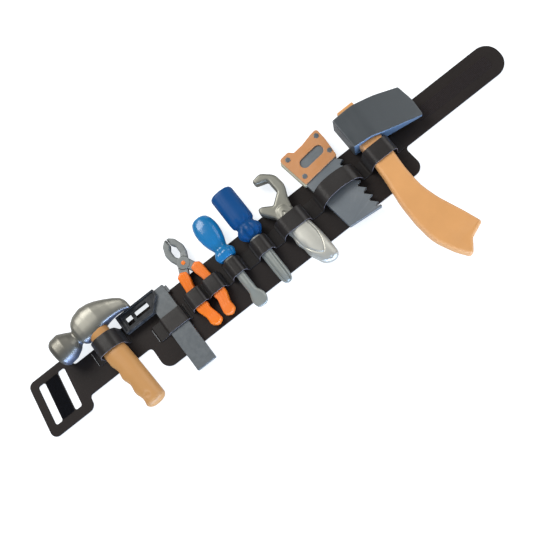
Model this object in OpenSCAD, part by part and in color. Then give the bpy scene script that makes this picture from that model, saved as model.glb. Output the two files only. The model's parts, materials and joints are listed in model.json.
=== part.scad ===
// Toy tool belt: a die-cut vinyl belt with stitched loops that carry eight toy tools.
// X runs along the belt towards the strap tail, Y across it towards the tool heads,
// and Z out of the face that carries the tools. Z = 0 is the back face. Millimetres.

/* [Belt sheet] */
// Thickness of the vinyl sheet
belt_t = 2.4; // [1.8:0.1:2.6]
// Width of the strap at both ends
strap_w = 46; // [42:1:48]
// How far the centre panel hangs below the strap
panel_drop = 36.4; // [30:0.2:40]
// Length of the centre panel
panel_l = 419; // [415:1:423]
// Distance from the panel's middle to the end of the tail
tail_reach = 382; // [360:1:420]
// Distance from the panel's middle to the middle of the buckle's outer edge
buckle_reach = 374; // [371:1:380]
// Height of the buckle frame
buckle_h = 79; // [76:1:84]
// Lean of the buckle frame, in degrees
buckle_lean = 8.5; // [6:0.5:10]
// Clear gap left at each fold line between two belt sections
fold_gap = 3; // [2.6:0.1:3.4]

/* [Buckle slots] */
// Width of each slot
slot_w = 10.6; // [8:0.2:12]
// Length of each slot
slot_l = 55; // [50:1:56]
// Distance between the middles of the two slots
slot_pitch = 31.6; // [29:0.2:33]

/* [Loops] */
// Thickness of the strip that forms the loops
strip_t = 1.4; // [1:0.1:1.6]
// Width of the strip
strip_w = 23; // [20:0.5:24]
// Play between a tool and its loop, on each side
loop_play = 0.8; // [0.5:0.1:1.2]

/* [Tools] */
// Gap between the belt's face and the lowest point of each tool
tool_lift = 0.6; // [0.4:0.1:1]
// Radial clearance in bores and pockets that hold a tang
tang_play = 0.08; // [0.05:0.01:0.1]
// Diameter of the hammer's striking face
face_d = 36.6; // [34:0.2:37]
// Width of the square's blade
square_blade_w = 28.5; // [26:0.5:29]
// Thickness of the wrench's grip
wrench_t = 22; // [18:1:24]
// Pitch of the saw teeth
tooth_pitch = 12.3; // [10:0.1:14]
// Depth of the saw teeth
tooth_depth = 5.5; // [3:0.5:6]
// Thickness of the axe head at its poll
poll_t = 34; // [32:1:34]

/* [Hidden] */
// Fold lines between the belt sections, from the buckle to the tail.
FOLDS = [-306, -212, -139.5, -76, -36.5, 7, 67.5, 148, 215, 296];
// Where each tool hangs: X of its axis at its loop, and how far it leans, in degrees.
HAMMER = [-250.5, 5.5];
SQUARE = [-162.2, 0];
PLIERS = [-108.5, 0];
FLAT = [-59.4, 0];
CROSS = [-15.8, 0];
WRENCH = [34.4, 6.2];
SAW = [108, 6];
AXE = [176, 0];
// Middle line of the three strips.
HAMMER_STRIP_Y = 10.5;
SQUARE_STRIP_Y = -14.3;
LONG_STRIP_Y = -11;
BIG = 1000;
ARC_STEP = 10;
$fn = 48;

VINYL = "#2b2522";
TAN = "#cf9156";
SILVER = "#9a9a94";
GREY = "#6c757c";

// ---- Outlines ---------------------------------------------------------------

function unit(v) = v / norm(v);

// Points of the arc that rounds corner c, a [x, y, radius], between its neighbours p and n.
function fillet(p, c, n) =
  let (
    u = unit([p[0] - c[0], p[1] - c[1]]),
    v = unit([n[0] - c[0], n[1] - c[1]]),
    half = acos(u * v) / 2,
    corner = [c[0], c[1]],
    middle = corner + unit(u + v) * c[2] / sin(half),
    first = corner + u * c[2] / tan(half) - middle,
    last = corner + v * c[2] / tan(half) - middle,
    start = atan2(first[1], first[0]),
    swing = atan2(last[1], last[0]) - start,
    turn = swing > 180 ? swing - 360 : swing < -180 ? swing + 360 : swing,
    steps = ceil(abs(turn) / ARC_STEP)
  )
  [for (i = [0:steps]) middle + c[2] * [cos(start + turn * i / steps), sin(start + turn * i / steps)]];

// Turns a list of [x, y, radius] corners into an outline with rounded corners.
function rounded(c) =
  [for (i = [0:len(c) - 1])
    each c[i][2] == 0 ? [[c[i][0], c[i][1]]] : fillet(c[(i + len(c) - 1) % len(c)], c[i], c[(i + 1) % len(c)])];

// An upright plate: an outline in X and Y, from z0 up to z1.
module plate(corners, z0, z1) {
  translate([0, 0, z0]) linear_extrude(z1 - z0) polygon(rounded(corners));
}

// A profile in X and Z, run along Y between y0 and y1.
module run_along_y(corners, y0, y1) {
  translate([0, y1, 0]) rotate([90, 0, 0]) linear_extrude(y1 - y0) polygon(rounded(corners));
}

// A profile of [radius, y] points turned about the Y axis.
module turned_about_y(profile) {
  rotate([-90, 0, 0]) rotate_extrude() polygon(profile);
}

// Keeps only what is within t / 2 of the tool's middle plane, which flattens a turned handle.
module flattened(t) {
  intersection() {
    children();
    cube([BIG, BIG, t], center = true);
  }
}

// A round rod along Y between y0 and y1.
module rod_y(r, y0, y1) {
  translate([0, y0, 0]) rotate([-90, 0, 0]) cylinder(r = r, h = y1 - y0);
}

// Puts a tool, drawn about its own axis, at its station and at height z, leaning about its loop.
module hung(station, loop_y, z) {
  translate([station[0], loop_y, z]) rotate(station[1]) translate([0, -loop_y, 0]) children();
}

// ---- Belt sheet ---------------------------------------------------------------

// Sideways shift of the leaning buckle frame at height y.
function lean(y) = y * tan(buckle_lean);

BELT_CORNERS = [
  [-buckle_reach + lean(-buckle_h / 2), -buckle_h / 2, 9],
  [-buckle_reach + 62, -buckle_h / 2, 10],
  [-buckle_reach + 65, -strap_w / 2, 5],
  [-panel_l / 2 + 1, -strap_w / 2, 5],
  [-panel_l / 2, -strap_w / 2 - panel_drop, 14],
  [panel_l / 2 + 1, -strap_w / 2 - panel_drop, 13],
  [panel_l / 2 - 1.5, -strap_w / 2, 5],
  [tail_reach, -strap_w / 2, 21],
  [tail_reach, strap_w / 2, 21],
  [-buckle_reach + 71, strap_w / 2, 5],
  [-buckle_reach + 69, buckle_h / 2, 9],
  [-buckle_reach + lean(buckle_h / 2), buckle_h / 2, 9]
];

module leaning_slot(x, w, l) {
  polygon(rounded([
    [x - w / 2 + lean(-l / 2), -l / 2, 2], [x + w / 2 + lean(-l / 2), -l / 2, 2],
    [x + w / 2 + lean(l / 2), l / 2, 2], [x - w / 2 + lean(l / 2), l / 2, 2]
  ]));
}

BUCKLE_MID = -341.5;

// A narrow slit that takes a strip's tucked-in end.
module strip_slit(x, y) {
  translate([x - 0.7, y - strip_w / 2 - 0.6]) square([1.4, strip_w + 1.2]);
}

module belt_outline() {
  difference() {
    polygon(rounded(BELT_CORNERS));
    translate([0, 1.5]) leaning_slot(BUCKLE_MID - slot_pitch / 2, slot_w, slot_l);
    translate([0, 1.5]) leaning_slot(BUCKLE_MID + slot_pitch / 2, slot_w, slot_l);
    strip_slit(HAMMER_STRIP[0], HAMMER_STRIP_Y);
    strip_slit(HAMMER_STRIP[1], HAMMER_STRIP_Y);
    strip_slit(SQUARE_STRIP[0], SQUARE_STRIP_Y);
  }
}

// Start and end of belt section i, counted from the buckle; the sections meet at the fold lines.
function section_start(i) = i == 0 ? -BIG : FOLDS[i - 1] + fold_gap / 2;
function section_end(i) = i == len(FOLDS) ? BIG : FOLDS[i] - fold_gap / 2;

module belt_section(i) {
  color(VINYL) linear_extrude(belt_t) intersection() {
    belt_outline();
    translate([section_start(i), -BIG / 2]) square([section_end(i) - section_start(i), BIG]);
  }
}

// ---- Heights and sizes that tools and loops share --------------------------------

hammer_z = 24;
hammer_t = 28;
square_blade_t = 7;
pliers_z = 11.4;
grip_t = 15.6;
flat_z = 15;
flat_shaft_r = 6.2;
tip_w = 18.4;
cross_z = 15.5;
cross_shaft_r = 8.3;
wrench_half_w = 17;
saw_loop_h = 24;
axe_z = belt_t + tool_lift + poll_t / 2;
axe_handle_t = 20;

// ---- Hook-and-loop patches --------------------------------------------------------

patch_t = 1;
tail_patch_w = 20;
tail_patch_x = [244, 366];

module buckle_hook_patch() {
  color("#0c0d12") translate([0, 1.5, belt_t]) linear_extrude(patch_t) leaning_slot(BUCKLE_MID, 18, 53);
}

module tail_patch(x0, x1) {
  color("#241f1d") translate([x0, -tail_patch_w / 2, belt_t]) cube([x1 - x0, tail_patch_w, patch_t]);
}

// ---- Loops ---------------------------------------------------------------------

// Ends of the two short strips; both ends of each are tucked into slits or stitched down.
HAMMER_STRIP = [-276.5, -224.5];
SQUARE_STRIP = [-194.5, -141.5];

// One loop: a strip along the belt from x0 to x1 that arches over an opening 2 a wide and h high,
// whose upper corners have radius r.
module loop_strip(x, strip_y, x0, x1, a, h, r) {
  t = strip_t;
  color(VINYL) translate([x, 0, belt_t]) union() {
    run_along_y([
      [-a - t, 0, 0], [-a - t, h + t, r + t], [a + t, h + t, r + t], [a + t, 0, 0],
      [a, 0, 0], [a, h, r], [-a, h, r], [-a, 0, 0]
    ], strip_y - strip_w / 2, strip_y + strip_w / 2);
    translate([x0 - x, strip_y - strip_w / 2, 0]) cube([x - a - t / 2 - x0, strip_w, t]);
    translate([a + t / 2, strip_y - strip_w / 2, 0]) cube([x1 - x - a - t / 2, strip_w, t]);
  }
}

// How much wider a loop must be for a tool that leans by the given angle.
function lean_room(angle) = strip_w / 2 * tan(angle);

hammer_half = 17 + loop_play + lean_room(HAMMER[1]);
hammer_opening = hammer_z - belt_t + hammer_t / 2 + loop_play;
pliers_opening = pliers_z - belt_t + grip_t / 2 + loop_play;
pliers_half = 10.4;
pliers_loop_offset = 12.6;

module hammer_loop() {
  loop_strip(HAMMER[0], HAMMER_STRIP_Y, HAMMER_STRIP[0] + 0.7, HAMMER_STRIP[1] - 0.7,
    hammer_half, hammer_opening, 10.5);
}

module square_loop() {
  loop_strip(SQUARE[0], SQUARE_STRIP_Y, SQUARE_STRIP[0] + 0.7, SQUARE_STRIP[1],
    square_blade_w / 2 + loop_play, square_blade_t + tool_lift + loop_play, 0.8);
}

module pliers_loop() {
  loop_strip(PLIERS[0] - pliers_loop_offset, LONG_STRIP_Y, section_start(3), PLIERS[0],
    pliers_half, pliers_opening, 1);
  loop_strip(PLIERS[0] + pliers_loop_offset, LONG_STRIP_Y, PLIERS[0], section_end(3),
    pliers_half, pliers_opening, 1);
}

module flat_driver_loop() {
  loop_strip(FLAT[0], LONG_STRIP_Y, section_start(4), section_end(4),
    tip_w / 2 + loop_play, flat_z - belt_t + flat_shaft_r + loop_play, 4);
}

module cross_driver_loop() {
  loop_strip(CROSS[0], LONG_STRIP_Y, section_start(5), section_end(5),
    cross_shaft_r + loop_play, cross_z - belt_t + cross_shaft_r + loop_play, 8.5);
}

module wrench_loop() {
  loop_strip(WRENCH[0], LONG_STRIP_Y, section_start(6), section_end(6),
    wrench_half_w + loop_play + lean_room(WRENCH[1]), wrench_t + tool_lift + loop_play, 7);
}

module saw_loop() {
  loop_strip(SAW[0], LONG_STRIP_Y, section_start(7), section_end(7),
    28 + loop_play + lean_room(SAW[1]), saw_loop_h, 12);
}

module axe_loop() {
  loop_strip(AXE[0], LONG_STRIP_Y, section_start(8), panel_l / 2 - 2,
    16.5 + loop_play, axe_z - belt_t + axe_handle_t / 2 + loop_play, 1);
}

// ---- Hammer ----------------------------------------------------------------------

hammer_eye_r = 8;
hammer_eye_top = 56;
hammer_chin = 31.5;

module hammer_head() {
  color(SILVER) hung(HAMMER, HAMMER_STRIP_Y, hammer_z) difference() {
    union() {
      intersection() {
        plate([
          [-27, 53, 0], [-22, 59.5, 0], [-14, 64, 0], [-2, 66.6, 0], [8, 66.4, 0], [20, 63.4, 0],
          [31, 58, 0], [41, 50.5, 0], [49, 42, 0], [56, 33, 0], [54.5, hammer_chin, 0], [-18, hammer_chin, 0],
          [-27, 36, 0]
        ], -20, 20);
        run_along_y([
          [-30, -10, 0], [-21, -15, 0], [-8, -16, 0], [6, -15.4, 0], [24, -8.4, 0], [60, -4, 0],
          [60, 4, 0], [24, 8.4, 0], [6, 15.4, 0], [-8, 16, 0], [-21, 15, 0], [-30, 10, 0]
        ], 20, 80);
      }
      translate([0, 44.5, 0]) rotate([0, 90, 0]) rotate_extrude() polygon(rounded([
        [0, -57, 0], [face_d / 2, -57, 2.5], [face_d / 2, -44, 4], [9.5, -30, 5], [9.5, -20, 0], [0, -20, 0]
      ]));
    }
    rod_y(hammer_eye_r + tang_play, 0, hammer_eye_top + tang_play);
  }
}

module hammer_handle() {
  color(TAN) hung(HAMMER, HAMMER_STRIP_Y, hammer_z) union() {
    flattened(hammer_t) turned_about_y(rounded([
      [0, hammer_chin, 0], [15, hammer_chin, 1.5], [12.6, 26, 4], [13.2, 4, 10], [16.6, -30, 60],
      [14.6, -92, 8], [0, -92, 0]
    ]));
    rod_y(hammer_eye_r, 20, hammer_eye_top);
  }
}

// ---- Try square --------------------------------------------------------------------

square_stock_t = 11.6;
square_foot = -85.6;
square_top = 33.3;
stock_x = [-60, 1];
stock_y = [8.7, 35.2];

module square_blade() {
  w = square_blade_w / 2;
  color(GREY) hung(SQUARE, SQUARE_STRIP_Y, belt_t + tool_lift) union() {
    plate([[-w, square_foot, 1.5], [w, square_foot, 1.5], [w, square_top, 1.5], [-w, square_top, 1.5]],
      0, square_blade_t);
    plate([[w - 1, 20, 0], [w + 3.2, 20, 1], [w + 3.2, 30, 1], [w - 1, 30, 0]], 1.5, 5);
  }
}

module square_stock() {
  w = square_blade_w / 2;
  x = stock_x;
  y = stock_y;
  rim = 3;
  color("#3d434c") hung(SQUARE, SQUARE_STRIP_Y, belt_t + tool_lift) difference() {
    plate([[x[0], y[0], 1], [x[1] - 17, y[0], 2], [x[1], y[0] + 17, 2], [x[1], y[1], 1], [x[0], y[1], 1]],
      0, square_stock_t);
    plate([[-w - 0.2, y[0] - 1, 0], [w + 1, y[0] - 1, 0], [w + 1, y[1] + 1, 0], [-w - 0.2, y[1] + 1, 0]],
      -1, square_blade_t + 0.2);
    plate([
      [x[0] + rim, y[0] + rim, 1], [x[1] - 18, y[0] + rim, 1], [x[1] - rim, y[0] + 18, 1],
      [x[1] - rim, y[1] - rim, 1], [x[0] + rim, y[1] - rim, 1]
    ], square_stock_t - 1.5, BIG);
    plate([[x[0] + 9, y[0] + 6, 1], [x[0] + 19, y[0] + 6, 1], [x[0] + 19, y[1] - 7, 1], [x[0] + 9, y[1] - 7, 1]],
      -1, BIG);
    plate([[x[0] + 23.5, y[0] + 8, 1], [x[0] + 43, y[0] + 8, 1], [x[0] + 43, y[1] - 8.5, 1],
      [x[0] + 23.5, y[1] - 8.5, 1]], -1, BIG);
  }
}

// ---- Pliers -------------------------------------------------------------------------

lever_t = 10;
boss_r = 10.4;
pin_r = 2.8;
pivot_y = 36;
half_lap = 0.15;

// A jaw on the left and its crossing arm on the right, about the pivot.
module lever_outline() {
  polygon(rounded([
    [-8, 2, 2], [-12.6, 12, 6], [-13.6, 22, 7], [-9, 34, 5], [-3, 38, 2], [-0.6, 36, 1], [-0.6, 31, 0.5],
    [-5, 23, 3], [-5, 15, 3], [0, 7, 1], [5, 2, 2], [12, -12, 2], [17, -34, 1.5], [13, -36, 1.5],
    [7, -16, 3], [0, -4, 2]
  ]));
}

// A disc with flat sides, from z0 up to z1.
module disc(r, z0, z1) {
  translate([0, 0, z0]) linear_extrude(z1 - z0) polygon([for (i = [0:35]) r * [cos(10 * i + 5), sin(10 * i + 5)]]);
}

// One lever with its half of the lap joint. The upper half of the boss is kept.
module lever() {
  difference() {
    union() {
      translate([0, 0, -lever_t / 2]) linear_extrude(lever_t) lever_outline();
      disc(boss_r, half_lap, lever_t / 2);
    }
    disc(boss_r + 0.6, -lever_t, half_lap);
    cylinder(r = pin_r + tang_play, h = 3 * lever_t, center = true);
  }
}

module pliers_lever_front() {
  color(GREY) hung(PLIERS, pivot_y, pliers_z) translate([0, pivot_y, 0]) lever();
}

module pliers_lever_back() {
  color(GREY) hung(PLIERS, pivot_y, pliers_z) translate([0, pivot_y, 0]) rotate([0, 180, 0]) lever();
}

// The sleeve over the right-hand arm, with a blind pocket for it.
module grip() {
  difference() {
    plate([
      [5, -11, 2], [14.5, -9, 2], [20, -30, 15], [23, -50, 15], [18.5, -72, 12], [18.8, -90, 3],
      [3.5, -91.5, 3], [3, -78, 8], [9.5, -56, 6], [10.2, -48, 3], [6.5, -26, 12]
    ], -grip_t / 2, grip_t / 2);
    translate([0, 0, -lever_t / 2 - tang_play])
      linear_extrude(lever_t + 2 * tang_play) offset(delta = 0.15) lever_outline();
  }
}

module pliers_grip_right() {
  color("#e8742a") hung(PLIERS, pivot_y, pliers_z) translate([0, pivot_y, 0]) grip();
}

module pliers_grip_left() {
  color("#e8742a") hung(PLIERS, pivot_y, pliers_z) translate([0, pivot_y, 0]) rotate([0, 180, 0]) grip();
}

module pliers_pivot_pin() {
  color("#e8742a") hung(PLIERS, pivot_y, pliers_z) translate([0, pivot_y, 0]) union() {
    cylinder(r = pin_r, h = lever_t + 1, center = true);
    for (side = [-1, 1]) translate([0, 0, side * (lever_t / 2 + 0.8)]) cylinder(r = 3.6, h = 1, center = true);
  }
}

// ---- Screwdrivers ---------------------------------------------------------------------

flat_handle_t = 24;
cross_handle_t = 25;
driver_tang_r = 4.5;

module flat_driver_handle() {
  color("#1272c8") hung(FLAT, LONG_STRIP_Y, flat_z) difference() {
    flattened(flat_handle_t) turned_about_y(rounded([
      [0, 3.5, 0], [12.4, 3.5, 2], [14.6, 15, 3], [10, 23.5, 4], [17.4, 45, 26], [13.5, 68, 9], [0, 68, 0]
    ]));
    rod_y(driver_tang_r + tang_play, 0, 30);
  }
}

module flat_driver_shaft() {
  w = tip_w / 2;
  color(GREY) hung(FLAT, LONG_STRIP_Y, flat_z) union() {
    rod_y(driver_tang_r, 0, 30 - tang_play);
    rod_y(flat_shaft_r, -48, 3.4);
    plate([[-5.5, -40, 0], [-5.8, -47, 4], [-w, -58, 5], [-w + 0.6, -72.6, 7], [w - 0.6, -72.6, 7],
      [w, -58, 5], [5.8, -47, 4], [5.5, -40, 0]], -3.6, 3.6);
  }
}

module cross_driver_handle() {
  flutes = 8;
  color("#1f58ac") hung(CROSS, LONG_STRIP_Y, cross_z) difference() {
    flattened(cross_handle_t) turned_about_y(rounded([
      [0, 3, 0], [9.5, 3, 2], [17, 12, 3], [17, 19, 2], [12.6, 22.5, 1.5], [12.6, 27, 1], [16.7, 28.5, 1.5],
      [16.7, 75.3, 9], [0, 75.3, 0]
    ]));
    rod_y(driver_tang_r + tang_play, 0, 30);
    for (i = [0:flutes - 1]) rotate([0, (i + 0.5) * 360 / flutes, 0])
      translate([18.6, 0, 0]) rod_y(2.8, 30.5, 90);
  }
}

module cross_driver_shaft() {
  color(GREY) hung(CROSS, LONG_STRIP_Y, cross_z) difference() {
    union() {
      rod_y(driver_tang_r, 0, 30 - tang_play);
      turned_about_y(rounded([
        [0, -69.5, 0], [4.6, -69.5, 2], [cross_shaft_r, -56, 6], [cross_shaft_r, 2.9, 1], [0, 2.9, 0]
      ]));
    }
    for (i = [0:3]) rotate([0, 45 + 90 * i, 0]) translate([8.6, -50, 0])
      rotate([4, 0, 0]) rotate([90, 0, 0]) cylinder(r = 3.2, h = 40);
  }
}

// ---- Wrench ------------------------------------------------------------------------------

wrench_z = belt_t + tool_lift + wrench_t / 2;

module wrench() {
  color(SILVER) hung(WRENCH, LONG_STRIP_Y, wrench_z) union() {
    flattened(wrench_t) turned_about_y(rounded([
      [0, 9, 0], [13, 9, 2], [13.6, -4, 10], [wrench_half_w, -36, 30], [14.5, -82, 13], [0, -84, 0]
    ]));
    plate([
      [-13, 2, 0], [-13, 12, 3], [-22.4, 24, 2.5], [-19.8, 32.6, 2.5], [-1.2, 20.5, 2], [15.8, 30, 2],
      [18.6, 49.5, 2], [-0.8, 55, 1.5], [1.8, 64, 3], [22, 62, 14], [31, 44, 14], [26, 18, 12],
      [13.5, 8, 4], [13, 2, 0]
    ], -8.5, 8.5);
  }
}

// ---- Saw ----------------------------------------------------------------------------------

saw_core_t = 9;
saw_plate_t = 2.4;
saw_t = saw_core_t + 2 * saw_plate_t;
saw_z = belt_t + tool_lift + 1 + saw_t / 2;
saw_rivets_at = [[-22.2, 58], [25.5, 55], [25, 29.5], [-21, 27]];
saw_rivet_r = 2.2;
saw_teeth = 7;

HANDLE_PLATE = [
  [-30.5, 65, 4], [-15.5, 65, 2.5], [-11.5, 59.5, 3], [8, 59.5, 20], [22, 61, 12], [33, 60.5, 4],
  [30, 23, 3], [-28, 16.8, 2]
];

// The toothed edge, from the handle down to the toe.
TOOTH_POINTS = [for (i = [0:saw_teeth - 1]) each [
  [28.6 - 0.6 * i - tooth_depth, 18.5 - tooth_pitch * i],
  [28.6 - 0.6 * i, 15.5 - tooth_pitch * (i + 0.45)],
  [28.4 - 0.6 * i - tooth_depth, 14.5 - tooth_pitch * (i + 0.5)]
]];

module saw_core_outline() {
  polygon(concat(
    [[-30.5, 64], [-27.8, 16.8], [-23.3, -60.4]],
    [[24, -68.5], [24.6, -66]],
    [for (i = [len(TOOTH_POINTS) - 1:-1:0]) TOOTH_POINTS[i]],
    [[26.6, 22], [32, 59], [22, 60], [-11, 58], [-16, 64]]
  ));
}

module saw_rivet_holes() {
  for (p = saw_rivets_at) translate([p[0], p[1], 0]) cylinder(r = saw_rivet_r + tang_play, h = BIG, center = true);
}

module saw_blade() {
  color(GREY) hung(SAW, LONG_STRIP_Y, saw_z) difference() {
    translate([0, 0, -saw_core_t / 2]) linear_extrude(saw_core_t) saw_core_outline();
    saw_rivet_holes();
  }
}

module saw_plate(z0) {
  color(TAN) hung(SAW, LONG_STRIP_Y, saw_z) difference() {
    plate(HANDLE_PLATE, z0, z0 + saw_plate_t);
    plate([[-15, 33, 7], [20.6, 33, 7], [20.6, 47.5, 7], [-15, 47.5, 7]], -BIG, BIG);
    saw_rivet_holes();
  }
}

module saw_front_plate() {
  saw_plate(saw_core_t / 2);
}

module saw_back_plate() {
  saw_plate(-saw_core_t / 2 - saw_plate_t);
}

module saw_rivets() {
  color("#5a626b") hung(SAW, LONG_STRIP_Y, saw_z) for (p = saw_rivets_at) translate([p[0], p[1], 0]) union() {
    cylinder(r = saw_rivet_r, h = saw_t + 1, center = true);
    for (side = [-1, 1]) translate([0, 0, side * (saw_t / 2 + 0.5)]) cylinder(r = 3.7, h = 1, center = true);
  }
}

// ---- Axe ------------------------------------------------------------------------------------

axe_eye_w = 26;

module axe_head() {
  color("#59626a") hung(AXE, LONG_STRIP_Y, axe_z) difference() {
    intersection() {
      plate([
        [-24, 7, 1], [0, 9, 40], [16, 5.5, 60], [73, -6, 2], [75.5, 16, 60], [72, 41.5, 2], [38, 48.5, 120],
        [-24, 53.5, 1]
      ], -BIG, BIG);
      run_along_y([
        [-24, -poll_t / 2, 2], [-2, -poll_t / 2, 20], [75.5, -2.2, 1], [75.5, 2.2, 1],
        [-2, poll_t / 2, 20], [-24, poll_t / 2, 2]
      ], -20, 60);
    }
    axe_eye(0.1);
  }
}

// The tapered tenon that fills the head's eye, grown by the given play.
module axe_eye(play) {
  w = axe_eye_w / 2 + play;
  t = axe_handle_t / 2 - 1 + play;
  run_along_y([[-w, -t, 4], [w, -t, 4], [w, t, 4], [-w, t, 4]], 0, 63.3);
}

// The handle is straight as far as the knee; below it the middle line is an arc that swings by
// the given angle, and the handle widens towards its forked end.
axe_knee = -30;
axe_arc_r = 297;
axe_swing = 28;

// A point of the handle's side: t degrees along the arc, side -1 or 1.
function axe_side(t, side) =
  let (reach = side * (16.3 + 9.2 * pow(t / axe_swing, 2)))
  [axe_arc_r - (axe_arc_r - reach) * cos(t), axe_knee - (axe_arc_r - reach) * sin(t), 0];

module axe_handle() {
  steps = 13;
  left = [for (i = [0:steps]) axe_side(i * 2, -1)];
  right = [for (i = [steps:-1:0]) axe_side(i * 2, 1)];
  fork = [[12.5, -185.5, 4], [31.5, -167.5, 14], [57.5, -159.5, 4]];
  color(TAN) hung(AXE, LONG_STRIP_Y, axe_z) union() {
    plate(concat([[16.3, 5.2, 0], [-16.3, 5.2, 0]], left, fork, right), -axe_handle_t / 2, axe_handle_t / 2);
    intersection() {
      axe_eye(0);
      translate([-BIG / 2, 5, -BIG / 2]) cube(BIG);
    }
  }
}

// ---- What is drawn -----------------------------------------------------------------------------

belt_section(0);  // belt_buckle_end
belt_section(1);  // belt_hammer_section
belt_section(2);  // belt_square_section
belt_section(3);  // belt_pliers_section
belt_section(4);  // belt_flat_driver_section
belt_section(5);  // belt_cross_driver_section
belt_section(6);  // belt_wrench_section
belt_section(7);  // belt_saw_section
belt_section(8);  // belt_axe_section
belt_section(9);  // belt_tail_base
belt_section(10);  // belt_tail_tip
buckle_hook_patch();
tail_patch(tail_patch_x[0], section_end(9));  // tail_loop_patch_base
tail_patch(section_start(10), tail_patch_x[1]);  // tail_loop_patch_tip
hammer_loop();
square_loop();
pliers_loop();
flat_driver_loop();
cross_driver_loop();
wrench_loop();
saw_loop();
axe_loop();
hammer_head();
hammer_handle();
square_blade();
square_stock();
pliers_lever_front();
pliers_lever_back();
pliers_grip_right();
pliers_grip_left();
pliers_pivot_pin();
flat_driver_handle();
flat_driver_shaft();
cross_driver_handle();
cross_driver_shaft();
wrench();
saw_blade();
saw_front_plate();
saw_back_plate();
saw_rivets();
axe_head();
axe_handle();
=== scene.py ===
"""Looks of a toy tool belt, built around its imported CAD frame.

Row frame: X runs along the belt towards the round tail, Y across it towards the tool heads,
Z out of the face that carries the tools. Lengths are written in millimetres and stored in metres.
"""

import json
import math

import bmesh
import bpy
import numpy as np
from mathutils import Matrix, Vector

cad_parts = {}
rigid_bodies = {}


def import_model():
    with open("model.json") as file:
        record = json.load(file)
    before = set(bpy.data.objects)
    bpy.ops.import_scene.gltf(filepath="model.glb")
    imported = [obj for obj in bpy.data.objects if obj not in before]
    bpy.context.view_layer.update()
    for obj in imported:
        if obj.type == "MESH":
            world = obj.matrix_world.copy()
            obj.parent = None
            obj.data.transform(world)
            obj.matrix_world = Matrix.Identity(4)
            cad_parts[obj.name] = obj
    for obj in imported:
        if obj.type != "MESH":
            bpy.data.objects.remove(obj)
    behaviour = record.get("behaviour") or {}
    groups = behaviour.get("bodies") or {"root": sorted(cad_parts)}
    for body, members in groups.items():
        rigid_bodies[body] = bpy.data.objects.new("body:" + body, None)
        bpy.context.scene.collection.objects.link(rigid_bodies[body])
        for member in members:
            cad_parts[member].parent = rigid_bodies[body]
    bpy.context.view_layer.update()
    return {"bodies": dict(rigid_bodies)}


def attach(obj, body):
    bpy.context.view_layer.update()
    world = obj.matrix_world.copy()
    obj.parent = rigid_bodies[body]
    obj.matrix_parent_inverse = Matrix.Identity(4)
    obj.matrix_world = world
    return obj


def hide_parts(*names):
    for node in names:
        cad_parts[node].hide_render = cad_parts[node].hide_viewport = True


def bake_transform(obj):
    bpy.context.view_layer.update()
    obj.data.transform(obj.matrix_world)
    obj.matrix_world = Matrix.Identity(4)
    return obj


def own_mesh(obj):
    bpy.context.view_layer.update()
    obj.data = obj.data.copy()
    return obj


MM = 0.001
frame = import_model()

# ---- Sizes shared with the CAD part, in millimetres ---------------------------------------

BELT_T = 2.4
STRIP_T = 1.4
STRIP_W = 23.0
PATCH_T = 1.0
BUCKLE_REACH = 374.0
BUCKLE_H = 79.0
BUCKLE_LEAN = math.tan(math.radians(8.5))
BUCKLE_MID = -341.5
STRAP_W = 46.0
PANEL_L = 419.0
PANEL_DROP = 36.4
TAIL_REACH = 382.0
SLOT_W = 10.6
SLOT_L = 55.0
SLOT_PITCH = 31.6
LONG_STRIP_Y = -11.0
HAMMER_STRIP_Y = 10.5
SQUARE_STRIP_Y = -14.3

# Where each tool hangs: X of its axis, the Y it leans about, its height and its lean in degrees.
PLACES = {
    "hammer": (-250.5, HAMMER_STRIP_Y, 24.0, 5.5),
    "square": (-162.2, SQUARE_STRIP_Y, 3.0, 0.0),
    "pliers": (-108.5, 36.0, 11.4, 0.0),
    "flat_driver": (-59.4, LONG_STRIP_Y, 15.0, 0.0),
    "cross_driver": (-15.8, LONG_STRIP_Y, 15.5, 0.0),
    "wrench": (34.4, LONG_STRIP_Y, 14.0, 6.2),
    "saw": (108.0, LONG_STRIP_Y, 11.1, 6.0),
    "axe": (176.0, LONG_STRIP_Y, 20.0, 0.0),
}

# ---- Outlines and curves ------------------------------------------------------------------


def corner_arc(before, corner, after, radius):
    """Points of the arc that rounds a corner of an outline."""
    if radius == 0:
        return [tuple(corner)]
    c = Vector(corner)
    u = (Vector(before) - c).normalized()
    v = (Vector(after) - c).normalized()
    half = u.angle(v) / 2
    middle = c + (u + v).normalized() * radius / math.sin(half)
    first = c + u * radius / math.tan(half) - middle
    last = c + v * radius / math.tan(half) - middle
    start = math.atan2(first.y, first.x)
    swing = math.atan2(last.y, last.x) - start
    swing = (swing + math.pi) % (2 * math.pi) - math.pi
    steps = max(2, math.ceil(abs(swing) / math.radians(9)))
    angles = [start + swing * i / steps for i in range(steps + 1)]
    return [(middle.x + radius * math.cos(a), middle.y + radius * math.sin(a)) for a in angles]


def rounded(corners):
    """An outline with rounded corners, from a list of (x, y, radius)."""
    points = []
    for i, (x, y, radius) in enumerate(corners):
        before = corners[i - 1][:2]
        after = corners[(i + 1) % len(corners)][:2]
        points += corner_arc(before, (x, y), after, radius)
    return points


def rectangle(x0, y0, x1, y1, radius):
    return rounded([(x0, y0, radius), (x1, y0, radius), (x1, y1, radius), (x0, y1, radius)])


def smoothstep(x, low, high):
    t = np.clip((x - low) / (high - low), 0, 1)
    return t * t * (3 - 2 * t)


def smooth_column(positions, knots, values, width):
    """Values between knots, rounded over the given width by a moving average."""
    fine = np.linspace(-1, 1, 21)
    total = np.zeros(len(positions))
    weight = 0
    for f in fine:
        k = 1 - f * f
        total += k * np.interp(np.clip(positions + f * width, knots[0], knots[-1]), knots, values)
        weight += k
    return total / weight


# ---- Meshes ---------------------------------------------------------------------------------


def link(obj):
    bpy.context.scene.collection.objects.link(obj)
    return obj


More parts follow.
